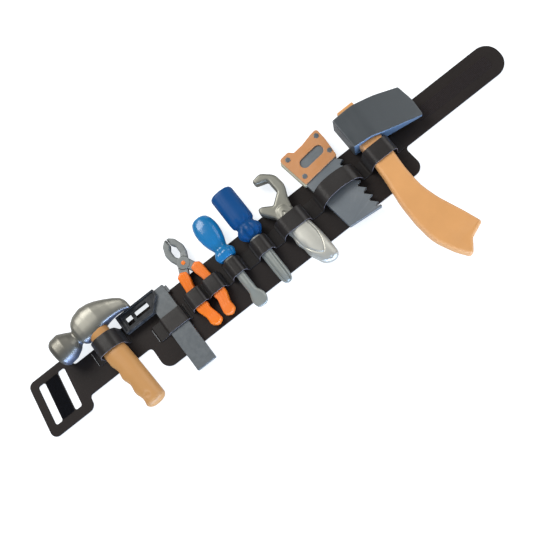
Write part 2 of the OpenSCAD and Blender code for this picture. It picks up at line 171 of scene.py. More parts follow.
def mesh_object(name, points, faces):
    """An object from points in millimetres in the row frame."""
    mesh = bpy.data.meshes.new(name)
    mesh.from_pydata([tuple(float(c) * MM for c in p) for p in points], [], faces)
    mesh.validate()
    obj = link(bpy.data.objects.new(name, mesh))
    tidy_normals(obj)
    return obj


def tidy_normals(obj, merge=0.0):
    bm = bmesh.new()
    bm.from_mesh(obj.data)
    if merge:
        bmesh.ops.remove_doubles(bm, verts=bm.verts, dist=merge)
    bmesh.ops.recalc_face_normals(bm, faces=bm.faces)
    bm.to_mesh(obj.data)
    bm.free()


def plate(name, outlines, z0, z1, edge, segments=2):
    """An upright plate with rounded rims: the first outline is its border, the rest are holes."""
    curve = bpy.data.curves.new(name, "CURVE")
    curve.dimensions = "2D"
    curve.fill_mode = "BOTH"
    curve.extrude = (z1 - z0) / 2 - edge
    curve.bevel_depth = edge
    curve.bevel_resolution = segments
    curve.offset = -edge
    for outline in outlines:
        spline = curve.splines.new("POLY")
        spline.points.add(len(outline) - 1)
        for point, (x, y) in zip(spline.points, outline):
            point.co = (x, y, 0, 1)
        spline.use_cyclic_u = True
    source = link(bpy.data.objects.new(name + "_outline", curve))
    bpy.context.view_layer.update()
    graph = bpy.context.evaluated_depsgraph_get()
    mesh = bpy.data.meshes.new_from_object(source.evaluated_get(graph))
    mesh.materials.clear()
    mesh.name = name
    bpy.data.objects.remove(source)
    obj = link(bpy.data.objects.new(name, mesh))
    mesh.transform(Matrix.Scale(MM, 4) @ Matrix.Translation((0, 0, (z0 + z1) / 2)))
    tidy_normals(obj, merge=2e-6)
    return obj


def skin(name, rings):
    """A closed skin over rings of equally many points, with its two ends filled."""
    count = len(rings[0])
    points = [p for r in rings for p in r]
    faces = []
    for i in range(len(rings) - 1):
        for j in range(count):
            k = (j + 1) % count
            faces.append((i * count + j, i * count + k, (i + 1) * count + k, (i + 1) * count + j))
    faces.append(tuple(range(count)))
    faces.append(tuple((len(rings) - 1) * count + j for j in reversed(range(count))))
    return mesh_object(name, points, faces)


def oval(half_u, half_v, power, under, count=56):
    """Points of a superellipse: power 2 is an ellipse, more is squarer, and under is its low side's."""
    angles = np.linspace(0, 2 * math.pi, count, endpoint=False)
    c, s = np.cos(angles), np.sin(angles)
    share = 2 / np.where(c < 0, under, power)
    return half_u * np.sign(c) * np.abs(c) ** share, half_v * np.sign(s) * np.abs(s) ** share


def round_off(distance, radius):
    """How far a side comes in at this distance from an end that is rounded with this radius."""
    if radius <= 0:
        return np.zeros(len(distance))
    d = np.clip(radius - distance, 0, radius)
    return radius - np.sqrt(radius * radius - d * d)


def loft(name, knots, power=2.4, ends=(3.0, 3.0), along="y", step=1.2, width=3.0, count=56):
    """A smooth solid along Y (or X). knots: (position, low side, high side, half thickness).

    A knot may go on with the power of its section and the power of the section's low side.
    """
    table = np.array([k + (power, power)[len(k) - 4:] for k in sorted(knots)], float)
    low, high = table[0, 0], table[-1, 0]
    spots = np.arange(low, high, step)
    tips = [t * t for t in np.linspace(0, 1, 7)]
    spots = np.concatenate([spots, [low + ends[0] * t for t in tips], [high - ends[1] * t for t in tips]])
    spots = np.unique(np.round(spots, 3))
    columns = [smooth_column(spots, table[:, 0], table[:, c], width) for c in (1, 2, 3, 4, 5)]
    inset = round_off(spots - low, ends[0]) + round_off(high - spots, ends[1])
    rings = []
    for s, a, b, t, p_high, p_low, cut in zip(spots, *columns, inset):
        half = max((b - a) / 2 - cut, 0.15)
        u, v = oval(half, max(t - cut, 0.15), p_high, p_low, count)
        middle = (a + b) / 2
        if along == "y":
            rings.append([(middle + p, s, q) for p, q in zip(u, v)])
        else:
            rings.append([(s, middle + p, q) for p, q in zip(u, v)])
    return skin(name, rings)


def lobed(name, knots, lobes, depth, ends=(2.0, 2.0), sharp=1.0, width=1.5, count=96):
    """A turned handle about Y whose radius dips between its lobes. knots: (y, radius, share of depth)."""
    table = np.array(sorted(knots), float)
    low, high = table[0, 0], table[-1, 0]
    tips = [t * t for t in np.linspace(0, 1, 8)]
    spots = np.concatenate([np.arange(low, high, 0.9), [low + ends[0] * t for t in tips],
                            [high - ends[1] * t for t in tips]])
    spots = np.unique(np.round(spots, 3))
    radii = smooth_column(spots, table[:, 0], table[:, 1], width)
    shares = smooth_column(spots, table[:, 0], table[:, 2], width)
    inset = round_off(spots - low, ends[0]) + round_off(high - spots, ends[1])
    angles = np.linspace(0, 2 * math.pi, count, endpoint=False)
    wave = np.abs(np.cos(angles * lobes / 2)) ** sharp
    rings = []
    for s, r, share, cut in zip(spots, radii, shares, inset):
        radius = np.maximum(r - cut - depth * share * (1 - wave), 0.2)
        rings.append([(p, s, q) for p, q in zip(radius * np.cos(angles), radius * np.sin(angles))])
    return skin(name, rings)


def sweep(name, path, y0, y1, thickness, edge=0.45):
    """A strip along a path of (x, z) points: its underside follows the path, from y0 to y1."""
    side = []
    for cy, cz, a0 in ((y1 - edge, thickness - edge, 0), (y0 + edge, thickness - edge, 90),
                       (y0 + edge, edge, 180), (y1 - edge, edge, 270)):
        for a in (0, 45, 90):
            angle = math.radians(a0 + a)
            side.append((cy + edge * math.cos(angle), cz + edge * math.sin(angle)))
    dense = []
    for (ax, az), (bx, bz) in zip(path[:-1], path[1:]):
        n = max(1, math.ceil(math.hypot(bx - ax, bz - az) / 2.0))
        dense += [(ax + (bx - ax) * i / n, az + (bz - az) * i / n) for i in range(n)]
    dense.append(path[-1])
    rings = []
    for i, (x, z) in enumerate(dense):
        ax, az = dense[max(i - 1, 0)]
        bx, bz = dense[min(i + 1, len(dense) - 1)]
        length = math.hypot(bx - ax, bz - az)
        nx, nz = -(bz - az) / length, (bx - ax) / length
        rings.append([(x + nx * h, y, z + nz * h) for y, h in side])
    return skin(name, rings)


def apply_modifiers(obj):
    bpy.context.view_layer.update()
    graph = bpy.context.evaluated_depsgraph_get()
    mesh = bpy.data.meshes.new_from_object(obj.evaluated_get(graph))
    obj.modifiers.clear()
    obj.data = mesh


def moulded(obj, voxel, rounds):
    """Fuses overlapping solids into one skin and softens its edges, as a moulded toy's are."""
    remesh = obj.modifiers.new("fuse", "REMESH")
    remesh.mode = "VOXEL"
    remesh.voxel_size = voxel * MM
    smooth = obj.modifiers.new("soften", "SMOOTH")
    smooth.iterations = rounds
    smooth.factor = 0.5
    apply_modifiers(obj)


def joined(name, *objs):
    """One object that holds the meshes of several, which overlap."""
    bm = bmesh.new()
    for o in objs:
        bm.from_mesh(o.data)
    mesh = bpy.data.meshes.new(name)
    bm.to_mesh(mesh)
    bm.free()
    for o in objs:
        bpy.data.objects.remove(o)
    return link(bpy.data.objects.new(name, mesh))


def cut(obj, cutter):
    boolean = obj.modifiers.new("cut", "BOOLEAN")
    boolean.object = cutter
    boolean.operation = "DIFFERENCE"
    boolean.solver = "EXACT"
    apply_modifiers(obj)
    bpy.data.objects.remove(cutter)


def bend_points(obj, change):
    """Moves the points of obj, given and returned as arrays in millimetres."""
    mesh = obj.data
    co = np.empty(len(mesh.vertices) * 3)
    mesh.vertices.foreach_get("co", co)
    co = co.reshape(-1, 3) / MM
    co = change(co)
    mesh.vertices.foreach_set("co", (co * MM).ravel())
    mesh.update()


def slice_along(obj, axis, positions):
    """Adds edge loops where planes across the axis meet the mesh, so that it can bend there."""
    bm = bmesh.new()
    bm.from_mesh(obj.data)
    normal = Vector([1 if i == axis else 0 for i in range(3)])
    for p in positions:
        geometry = bm.verts[:] + bm.edges[:] + bm.faces[:]
        bmesh.ops.bisect_plane(bm, geom=geometry, dist=1e-7, plane_co=normal * p * MM, plane_no=normal)
    bm.to_mesh(obj.data)
    bm.free()


def slab(name, source, low, high):
    """The part of source between two planes across X, closed where it is cut."""
    bm = bmesh.new()
    bm.from_mesh(source.data)
    for position, sign in ((low, -1), (high, 1)):
        if position is None:
            continue
        geometry = bm.verts[:] + bm.edges[:] + bm.faces[:]
        result = bmesh.ops.bisect_plane(bm, geom=geometry, dist=1e-7, plane_co=(position * MM, 0, 0),
                                        plane_no=(sign, 0, 0), clear_outer=True)
        edges = [e for e in result["geom_cut"] if isinstance(e, bmesh.types.BMEdge)]
        bmesh.ops.holes_fill(bm, edges=edges, sides=0)
    mesh = bpy.data.meshes.new(name)
    bm.to_mesh(mesh)
    bm.free()
    return link(bpy.data.objects.new(name, mesh))


def dress(obj, material, nodes=(), smooth_angle=38):
    """Gives a finished piece its material and smooth shading, and hides the CAD nodes it stands for."""
    obj.data.materials.clear()
    obj.data.materials.append(material)
    obj.data.shade_smooth()
    obj.data.set_sharp_from_angle(angle=math.radians(smooth_angle))
    even = obj.modifiers.new("even_shading", "WEIGHTED_NORMAL")
    even.keep_sharp = True
    if nodes:
        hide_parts(*nodes)


def fit(obj, tool, material, *nodes, body=None, slot=None, smooth_angle=38):
    """Places a rigid piece, drawn about its tool's own axis, at the tool's station on the belt.

    Its slot argument is not used.
    """
    x, y, z, lean = PLACES[tool]
    turn = Matrix.Rotation(math.radians(lean), 4, "Z")
    to_loop = Matrix.Translation((0, -y * MM, 0))
    obj.data.transform(Matrix.Translation((x * MM, y * MM, z * MM)) @ turn @ to_loop)
    dress(obj, material, nodes, smooth_angle)
    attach(obj, body or tool)


# ---- Materials ------------------------------------------------------------------------------


class Shader:
    """A small helper that wires up one procedural material."""

    def __init__(self, name):
        self.material = bpy.data.materials.new(name)
        self.material.use_nodes = True
        self.tree = self.material.node_tree
        self.surface = self.tree.nodes["Principled BSDF"]
        self.coordinates = self.tree.nodes.new("ShaderNodeTexCoord").outputs
        self.place = self.coordinates["Object"]

    def node(self, kind):
        return self.tree.nodes.new("ShaderNode" + kind)

    def wire(self, a, b):
        self.tree.links.new(a, b)

    def noise(self, scale, detail=3.0, rough=0.5, stretch=None):
        n = self.node("TexNoise")
        n.inputs["Scale"].default_value = scale
        n.inputs["Detail"].default_value = detail
        n.inputs["Roughness"].default_value = rough
        if stretch:
            mapping = self.node("Mapping")
            mapping.inputs["Scale"].default_value = stretch
            self.wire(self.place, mapping.inputs["Vector"])
            self.wire(mapping.outputs["Vector"], n.inputs["Vector"])
        else:
            self.wire(self.place, n.inputs["Vector"])
        return n.outputs["Fac"]

    def component(self, vector, axis):
        n = self.node("SeparateXYZ")
        self.wire(vector, n.inputs["Vector"])
        return n.outputs[axis]

    def cells(self, scale, feature="F1"):
        n = self.node("TexVoronoi")
        n.feature = feature
        n.inputs["Scale"].default_value = scale
        self.wire(self.place, n.inputs["Vector"])
        return n.outputs["Distance"]

    def span(self, value, low, high, to_low, to_high):
        n = self.node("MapRange")
        n.inputs["From Min"].default_value = low
        n.inputs["From Max"].default_value = high
        n.inputs["To Min"].default_value = to_low
        n.inputs["To Max"].default_value = to_high
        self.wire(value, n.inputs["Value"])
        return n.outputs["Result"]

    def math(self, operation, a, b):
        n = self.node("Math")
        n.operation = operation
        for socket, value in ((n.inputs[0], a), (n.inputs[1], b)):
            if isinstance(value, (int, float)):
                socket.default_value = value
            else:
                self.wire(value, socket)
        return n.outputs[0]

    def mix(self, factor, a, b):
        n = self.node("Mix")
        n.data_type = "RGBA"
        for socket, value in ((n.inputs[0], factor), (n.inputs[6], a), (n.inputs[7], b)):
            if isinstance(value, (int, float)):
                socket.default_value = value
            elif isinstance(value, tuple):
                socket.default_value = (*value, 1)
            else:
                self.wire(value, socket)
        return n.outputs[2]

    def edges(self):
        """1 along convex edges, 0 elsewhere."""
        return self.span(self.node("NewGeometry").outputs["Pointiness"], 0.51, 0.56, 0, 1)

    def bump(self, height, distance, strength, under=None):
        n = self.node("Bump")
        n.inputs["Distance"].default_value = distance
        n.inputs["Strength"].default_value = strength
        self.wire(height, n.inputs["Height"])
        if under:
            self.wire(under, n.inputs["Normal"])
        return n.outputs["Normal"]

    def set(self, name, value):
        socket = self.surface.inputs[name]
        if isinstance(value, (int, float)):
            socket.default_value = value
        elif isinstance(value, tuple):
            socket.default_value = (*value, 1)
        else:
            self.wire(value, socket)


def tint(colour, share):
    return tuple(min(1, c * share) for c in colour)


def towards(colour, target, share):
    return tuple(c + (target - c) * share for c in colour)


def moulded_plastic(name, colour, roughness, metallic=0.0, coat=0.0, grain=0.2, wear=0.35,
                    specular=0.5, painted_shade_ramp=None, under=None):
    """Injection-moulded plastic: cloudy colour, a fine spark-eroded grain, rubbed edges, faint scuffs.

    painted_shade_ramp: (axis, from, to, colour) of a painted shade colour that the piece takes along an
    axis of the row frame.
    under: a painted light colour, standing in for the low cool fill, on the sides that face away from the
    tools' heads.
    """
    s = Shader(name)
    clouds = s.noise(38, 4, 0.55)
    flow = s.noise(26, 2, 0.5, stretch=(1.0, 0.25, 1.0))
    pigment_and_painted_light = s.mix(s.span(clouds, 0.3, 0.7, 0, 1), tint(colour, 0.96), tint(colour, 1.03))
    pigment_and_painted_light = s.mix(s.span(flow, 0.55, 0.75, 0, 0.35), pigment_and_painted_light, towards(colour, 1.0, 0.10))
    # Painted shade: along the axis the colour turns darker towards one end, standing in for shade and
    # darker reflections there.
    if painted_shade_ramp:
        axis, start, end, other = painted_shade_ramp
        pigment_and_painted_light = s.mix(s.span(s.component(s.place, axis), start, end, 0, 0.85), pigment_and_painted_light, other)
    # Painted light: sides facing -Y turn a lighter blue, standing in for the low cool fill.
    if under:
        facing = s.component(s.coordinates["Normal"], "Y")
        pigment_and_painted_light = s.mix(s.span(facing, -0.95, -0.6, 0.9, 0), pigment_and_painted_light, under)
    rubbed = s.math("MULTIPLY", s.edges(), s.span(s.noise(160, 3, 0.6), 0.35, 0.65, 0.2, 1.0))
    rubbed = s.math("MULTIPLY", rubbed, wear)
    s.set("Base Color", s.mix(rubbed, pigment_and_painted_light, towards(colour, 1.0, 0.45)))
    scuffs = s.noise(420, 3, 0.6, stretch=(1.0, 0.12, 1.0))
    rough = s.span(clouds, 0.3, 0.7, roughness - 0.05, roughness + 0.06)
    rough = s.math("ADD", rough, s.span(scuffs, 0.55, 0.8, 0, 0.14))
    s.set("Roughness", rough)
    s.set("Metallic", metallic)
    s.set("Coat Weight", coat)
    s.set("Coat Roughness", 0.12)
    s.set("Specular IOR Level", specular)
    ripple = s.bump(s.noise(55, 2, 0.5), 0.0005, 0.05 if metallic > 0.5 else 0.18)
    fine = s.bump(s.noise(2600, 2, 0.6), 0.00006, grain, ripple)
    s.set("Normal", fine)
    return s.material


def soft_vinyl(name, colour, sheen, roughness, specular, rim, raised=False):
    """Soft vinyl sheet: fine leathery grain, slow undulation, greyish scuffs, and a painted highlight in
    the rim colour on the edges that face -Y, towards the low cool fill.

    raised: the painted edge highlight and the gloss only show where the piece stands up from the belt.
    """
    s = Shader(name)
    clouds = s.noise(14, 4, 0.6)
    specks = s.noise(900, 3, 0.7)
    base = s.mix(s.span(clouds, 0.3, 0.7, 0, 1), tint(colour, 0.85), tint(colour, 1.18))
    base = s.mix(s.span(specks, 0.5, 0.85, 0, 0.18), base, towards(colour, 0.3, 0.25))
    scuffs = s.noise(70, 5, 0.7, stretch=(0.35, 1.0, 1.0))
    base = s.mix(s.span(scuffs, 0.62, 0.85, 0, 0.2), base, towards(colour, 0.25, 0.2))
    # Painted highlight: edges facing -Y take the rim colour, standing in for the low cool fill catching
    # them.
    facing = s.component(s.node("NewGeometry").outputs["Normal"], "Y")
    painted_edge_highlight = s.span(facing, -0.9, -0.4, 1, 0)
    rough = s.span(clouds, 0.3, 0.7, roughness - 0.06, roughness + 0.08)
    if raised:
        height = s.component(s.coordinates["Generated"], "Z")
        painted_edge_highlight = s.math("MULTIPLY", painted_edge_highlight, s.span(height, 0.15, 0.6, 0.10, 1))
        rough = s.math("ADD", rough, s.span(height, 0.15, 0.5, 0.18, 0))
        specular = s.span(height, 0.15, 0.5, 0.20, specular)
    s.set("Base Color", s.mix(painted_edge_highlight, base, rim))
    s.set("Roughness", rough)
    s.set("Sheen Weight", sheen)
    s.set("Sheen Roughness", 0.45)
    s.set("Specular IOR Level", specular)
    slow = s.bump(s.noise(30, 3, 0.5), 0.0012, 0.25)
    pebble = s.bump(s.cells(1100, "SMOOTH_F1"), 0.00022, 0.35, slow)
    s.set("Normal", s.bump(s.noise(3200, 2, 0.6), 0.00008, 0.25, pebble))
    return s.material


def hook_pile(name, colour, sheen):
    """Hook-and-loop pile: dense short tufts in rows, with a soft sheen."""
    s = Shader(name)
    rows = s.node("TexWave")
    rows.wave_type = "BANDS"
    rows.bands_direction = "Y"
    rows.inputs["Scale"].default_value = 170
    rows.inputs["Distortion"].default_value = 2.5
    rows.inputs["Detail"].default_value = 2
    rows.inputs["Detail Scale"].default_value = 3
    s.wire(s.place, rows.inputs["Vector"])
    tufts = s.cells(1300)
    shade = s.math("MULTIPLY", rows.outputs["Fac"], s.span(tufts, 0, 0.6, 1, 0.35))
    s.set("Base Color", s.mix(shade, tint(colour, 0.6), tint(colour, 1.7)))
    s.set("Roughness", 0.92)
    s.set("Specular IOR Level", 0.12)
    s.set("Sheen Weight", sheen)
    s.set("Sheen Roughness", 0.6)
    rough = s.bump(tufts, 0.0004, 0.8)
    s.set("Normal", s.bump(rows.outputs["Fac"], 0.0003, 0.5, rough))
    return s.material


# The rim colours are painted highlights on the edges that face -Y.
VINYL = soft_vinyl("belt_vinyl", (0.0185, 0.0143, 0.0130), 0.04, 0.50, 0.17, rim=(0.045, 0.040, 0.045))
STRIP = soft_vinyl("strip_vinyl", (0.0150, 0.0125, 0.0115), 0.04, 0.32, 0.50, rim=(0.20, 0.180, 0.205),
                   raised=True)
HOOK = hook_pile("black_hook_pile", (0.0035, 0.0038, 0.0055), 0.0)
TAIL_PILE = hook_pile("brown_loop_pile", (0.0270, 0.0215, 0.0215), 0.02)
# Painted shade: the wrench darkens towards its jaw end, to offset the bright reflection of the key light
# there.
SILVER = moulded_plastic("silver_plastic", (0.60, 0.595, 0.535), 0.46, metallic=0.70,
                         grain=0.15, wear=0.2, painted_shade_ramp=("Y", -0.030, 0.012, (0.20, 0.20, 0.17)))
# Painted shade: a darker copy of the silver plastic for the hammer head, darker still at the striking face
# for the dark belt's reflection, with painted bluish fill light on its -Y sides.
HAMMER_SILVER_PAINTED_LIGHT = moulded_plastic("hammer_silver_plastic", (0.285, 0.28, 0.245), 0.41, metallic=0.82,
                                grain=0.08, wear=0.15, painted_shade_ramp=("X", -0.268, -0.292, (0.185, 0.18, 0.155)),
                                under=(0.23, 0.275, 0.40))
TAN = moulded_plastic("tan_plastic", (0.53, 0.265, 0.085), 0.42, coat=0.10)
LIGHT_TAN = moulded_plastic("light_tan_plastic", (0.70, 0.34, 0.115), 0.46, coat=0.06)
ORANGE_TAN = moulded_plastic("orange_tan_plastic", (0.55, 0.235, 0.075), 0.45, coat=0.05)
BLADE_GREY = moulded_plastic("blade_grey_plastic", (0.100, 0.115, 0.125), 0.40, metallic=0.25, grain=0.4)
SLATE = moulded_plastic("slate_plastic", (0.010, 0.013, 0.018), 0.46, grain=0.4, specular=0.25)
# Painted light: the axe head's -Y sides take a lighter blue, standing in for the low cool fill.
DARK_SLATE = moulded_plastic("dark_slate_plastic", (0.070, 0.080, 0.088), 0.38, metallic=0.30, grain=0.4,
                             under=(0.150, 0.255, 0.410))
SAW_GREY = moulded_plastic("saw_grey_plastic", (0.150, 0.172, 0.190), 0.40, metallic=0.25, grain=0.4)
JAW_GREY = moulded_plastic("jaw_grey_plastic", (0.165, 0.180, 0.180), 0.40, metallic=0.25)
RIVET_GREY = moulded_plastic("rivet_grey_plastic", (0.085, 0.105, 0.120), 0.36, metallic=0.3)
ORANGE = moulded_plastic("orange_plastic", (0.84, 0.185, 0.008), 0.34, coat=0.15, wear=0.10,
                         specular=0.35)
BRIGHT_BLUE = moulded_plastic("bright_blue_plastic", (0.004, 0.165, 0.405), 0.24, coat=0.40, grain=0.1,
                              wear=0.08, specular=0.4)
DEEP_BLUE = moulded_plastic("deep_blue_plastic", (0.0, 0.060, 0.215), 0.40, grain=0.1, wear=0.06,
                            specular=0.22)
SHAFT_GREY = moulded_plastic("shaft_grey_plastic", (0.29, 0.31, 0.29), 0.34, metallic=0.35)
# Painted highlight: the lit left side of the saw's grey core, drawn as a pale plastic.
PAINTED_LIT_SIDE = moulded_plastic("cream_plastic", (0.44, 0.44, 0.33), 0.46)

# ---- Belt sheet -------------------------------------------------------------------------------


def leaning(y):
    return y * BUCKLE_LEAN


def leaning_box(x, y, half_w, half_l, radius):
    corners = []
    for sx, sy in ((-1, -1), (1, -1), (1, 1), (-1, 1)):
        corners.append((x + sx * half_w + leaning(sy * half_l), y + sy * half_l, radius))
    return rounded(corners)


half_buckle = BUCKLE_H / 2
half_strap = STRAP_W / 2
BORDER = rounded([
    (-BUCKLE_REACH + leaning(-half_buckle), -half_buckle, 9),
    (-BUCKLE_REACH + 62, -half_buckle, 10),
    (-BUCKLE_REACH + 65, -half_strap, 5),
    (-PANEL_L / 2 + 1, -half_strap, 5),
    (-PANEL_L / 2, -half_strap - PANEL_DROP, 14),
    (PANEL_L / 2 + 1, -half_strap - PANEL_DROP, 13),
    (PANEL_L / 2 - 1.5, -half_strap, 5),
    (TAIL_REACH, -half_strap, 21),
    (TAIL_REACH, half_strap, 21),
    (-BUCKLE_REACH + 71, half_strap, 5),
    (-BUCKLE_REACH + 69, half_buckle, 9),
    (-BUCKLE_REACH + leaning(half_buckle), half_buckle, 9),
])
HAMMER_SLIT, SQUARE_SLIT = -276.5, -194.5


def slit(x, y):
    return rectangle(x - 0.8, y - 9.5, x + 0.5, y + 9.5, 0.5)


HOLES = [
    leaning_box(BUCKLE_MID - SLOT_PITCH / 2, 1.5, SLOT_W / 2, SLOT_L / 2, 3),
    leaning_box(BUCKLE_MID + SLOT_PITCH / 2, 1.5, SLOT_W / 2, SLOT_L / 2, 3),
    slit(HAMMER_SLIT, HAMMER_STRIP_Y),
    slit(SQUARE_SLIT, SQUARE_STRIP_Y),
]

# The sheet is cut across the middle of sections; each piece spans the fold between its cuts, with edge
# loops across it there.
CUTS = [-250.5, -176.0, -108.5, -59.4, -15.8, 34.4, 108.0, 176.0, 255.0]
BEND_ZONES = [(-314, -292), (-226, -198), (-149, -131), (-85, -67), (-46, -27), (-1.5, 14.5),
              (56, 76), (140, 157), (203, 228), (282, 310)]
SECTIONS = ["buckle_end", "hammer_section", "square_section", "pliers_section",
            "flat_driver_section", "cross_driver_section", "wrench_section", "saw_section",
            "axe_section", "tail_base", "tail_tip"]


def bend_steps(fold):
    low, high = BEND_ZONES[fold]
    return [float(x) for x in np.arange(low, high + 0.1, 2.0)]


def bend_over(obj):
    """Bakes the transform of a finished soft piece into its mesh."""
    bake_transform(obj)


def build_sheet():
    whole = plate("belt_sheet", [BORDER] + HOLES, 0, BELT_T, 0.7)
    slice_along(whole, 1, [float(y) for y in range(-55, 40, 10)])
    for fold in range(len(BEND_ZONES)):
        low = CUTS[fold - 1] if fold else None
        high = CUTS[fold] if fold < len(CUTS) else None
        piece = slab("belt_sheet_%02d" % fold, whole, low, high)
        slice_along(piece, 0, bend_steps(fold))
        last = fold == len(BEND_ZONES) - 1
        nodes = ["belt_" + section for section in SECTIONS[fold:fold + (2 if last else 1)]]
        dress(piece, VINYL, nodes)
        bend_over(piece)
    bpy.data.objects.remove(whole)


build_sheet()


def build_patches():
    outline = leaning_box(BUCKLE_MID, 1.5, 9.2, 26.8, 1.2)
    band = plate("buckle_hook_band", [outline], BELT_T - 0.1, BELT_T + PATCH_T, 0.35)
    dress(band, HOOK, ["buckle_hook_patch"])
    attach(band, "buckle_end")
    tail = plate("tail_loop_strip", [rectangle(246, -9, 364, 9, 3)], BELT_T - 0.1, BELT_T + 0.4, 0.2)
    slice_along(tail, 0, bend_steps(9))
    dress(tail, TAIL_PILE, ["tail_loop_patch_base", "tail_loop_patch_tip"])
    bend_over(tail)


build_patches()

# ---- Strips and loops ---------------------------------------------------------------------------


def arch(tool, top, height, bow, left, right, left_foot=2.5, right_foot=2.5, shift=0.0):
    """Corners of an arch over a tool: half width of its flat top, height, and its feet's reach."""
    x = PLACES[tool][0] + shift
    low, high = BELT_T, BELT_T + height
    return [(x - left, low, left_foot), (x - top, high, bow),
            (x + top, high, bow), (x + right, low, right_foot)]


def half_arch(corners, side):
    """Corners of the left (-1) or right (1) half of an arch, from its foot to the middle of its top."""
    middle_x = (corners[1][0] + corners[2][0]) / 2
    middle = (middle_x, corners[1][1], 0)
    return [corners[0], corners[1], middle] if side < 0 else [middle, corners[2], corners[3]]


def corner_path(corners):
    points = []
    for i, (x, z, radius) in enumerate(corners):
        if radius == 0:
            points.append((x, z))
        else:
            points += corner_arc(corners[i - 1][:2], (x, z), corners[i + 1][:2], radius)
    return points


ARCHES = {
    "hammer": arch("hammer", 17.0, 36.8, 14.0, 18.6, 17.8, left_foot=2.0, right_foot=1.4, shift=4.8),
    "square": arch("square", 15.2, 9.0, 3.0, 16.4, 16.4, left_foot=2.0, right_foot=2.0),
    "flat_driver": arch("flat_driver", 8.6, 20.2, 7.4, 12.4, 12.4),
    "cross_driver": arch("cross_driver", 9.8, 22.4, 8.4, 13.0, 13.0),
    "wrench": arch("wrench", 18.8, 23.6, 11.0, 21.6, 21.6),
    "saw": arch("saw", 28.2, 22.5, 15.0, 32.6, 32.6),
    "axe": arch("axe", 17.4, 28.8, 9.5, 22.0, 20.0, left_foot=5.0),
}
# The pair of arches over the pliers' handles, with a soft valley between them.
GRIP_TOP = BELT_T + 17.6
PLIERS_ARCHES = [
    (-136.0, BELT_T, 3.0), (-133.0, GRIP_TOP, 6.5), (-113.0, GRIP_TOP, 5.0), (-108.5, BELT_T + 4.5, 2.2),
    (-104.0, GRIP_TOP, 5.0), (-84.0, GRIP_TOP, 6.5), (-81.0, BELT_T, 3.0),
]


def sway(co):
    """The wide loop over the saw bows towards the saw's handle."""
    bow, reach = 5.0, 33.0
    co[:, 1] += bow * np.clip(1 - ((co[:, 0] - PLACES["saw"][0]) / reach) ** 2, 0, 1)
    return co


def strip_piece(name, corners, strip_y, nodes, fold=None, body=None, squash=False):
    piece = sweep(name, corner_path(corners), strip_y - STRIP_W / 2, strip_y + STRIP_W / 2, STRIP_T)
    bend_points(piece, sway)
    if fold is not None:
        slice_along(piece, 0, bend_steps(fold))
    dress(piece, STRIP, nodes, smooth_angle=50)
    if fold is None:
        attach(piece, body)
    else:
        bend_over(piece)
    if squash:
        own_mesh(piece)


def flat(x, radius=0):
    return (x, BELT_T, radius)


def tucked(slit_x, depth):
    """The end of a strip that goes down into a slit of the sheet."""
    return [(slit_x + 0.6, depth, 0), flat(slit_x + 2.2, 1.2)]


def build_strips():
    tuck = 0.6
    corners = tucked(HAMMER_SLIT, tuck) + ARCHES["hammer"] + [flat(-225.4, 0.8), (-224.4, tuck, 0)]
    strip_piece("hammer_strip", corners, HAMMER_STRIP_Y, ["hammer_loop"], body="hammer_section")
    corners = tucked(SQUARE_SLIT, tuck) + ARCHES["square"] + [flat(-141.8)]
    strip_piece("square_strip", corners, SQUARE_STRIP_Y, ["square_loop"], body="square_section")
    strip_piece("pliers_strip", [flat(-139.4)] + PLIERS_ARCHES + [flat(-77.8)], LONG_STRIP_Y,
                ["pliers_loop"], body="pliers_section", squash=True)
    order = [("flat_driver", 3), ("cross_driver", 4), ("wrench", 5), ("saw", 6), ("axe", 7)]
    before = [flat(-78.4)]
    for tool, fold in order:
        corners = before + half_arch(ARCHES[tool], -1)
        strip_piece("long_strip_%02d" % fold, corners, LONG_STRIP_Y, [tool + "_loop"], fold=fold)
        before = half_arch(ARCHES[tool], 1)
    strip_piece("long_strip_08", before + [flat(207.4)], LONG_STRIP_Y, [], fold=8)


build_strips()

# ---- Tools ----------------------------------------------------------------------------------------


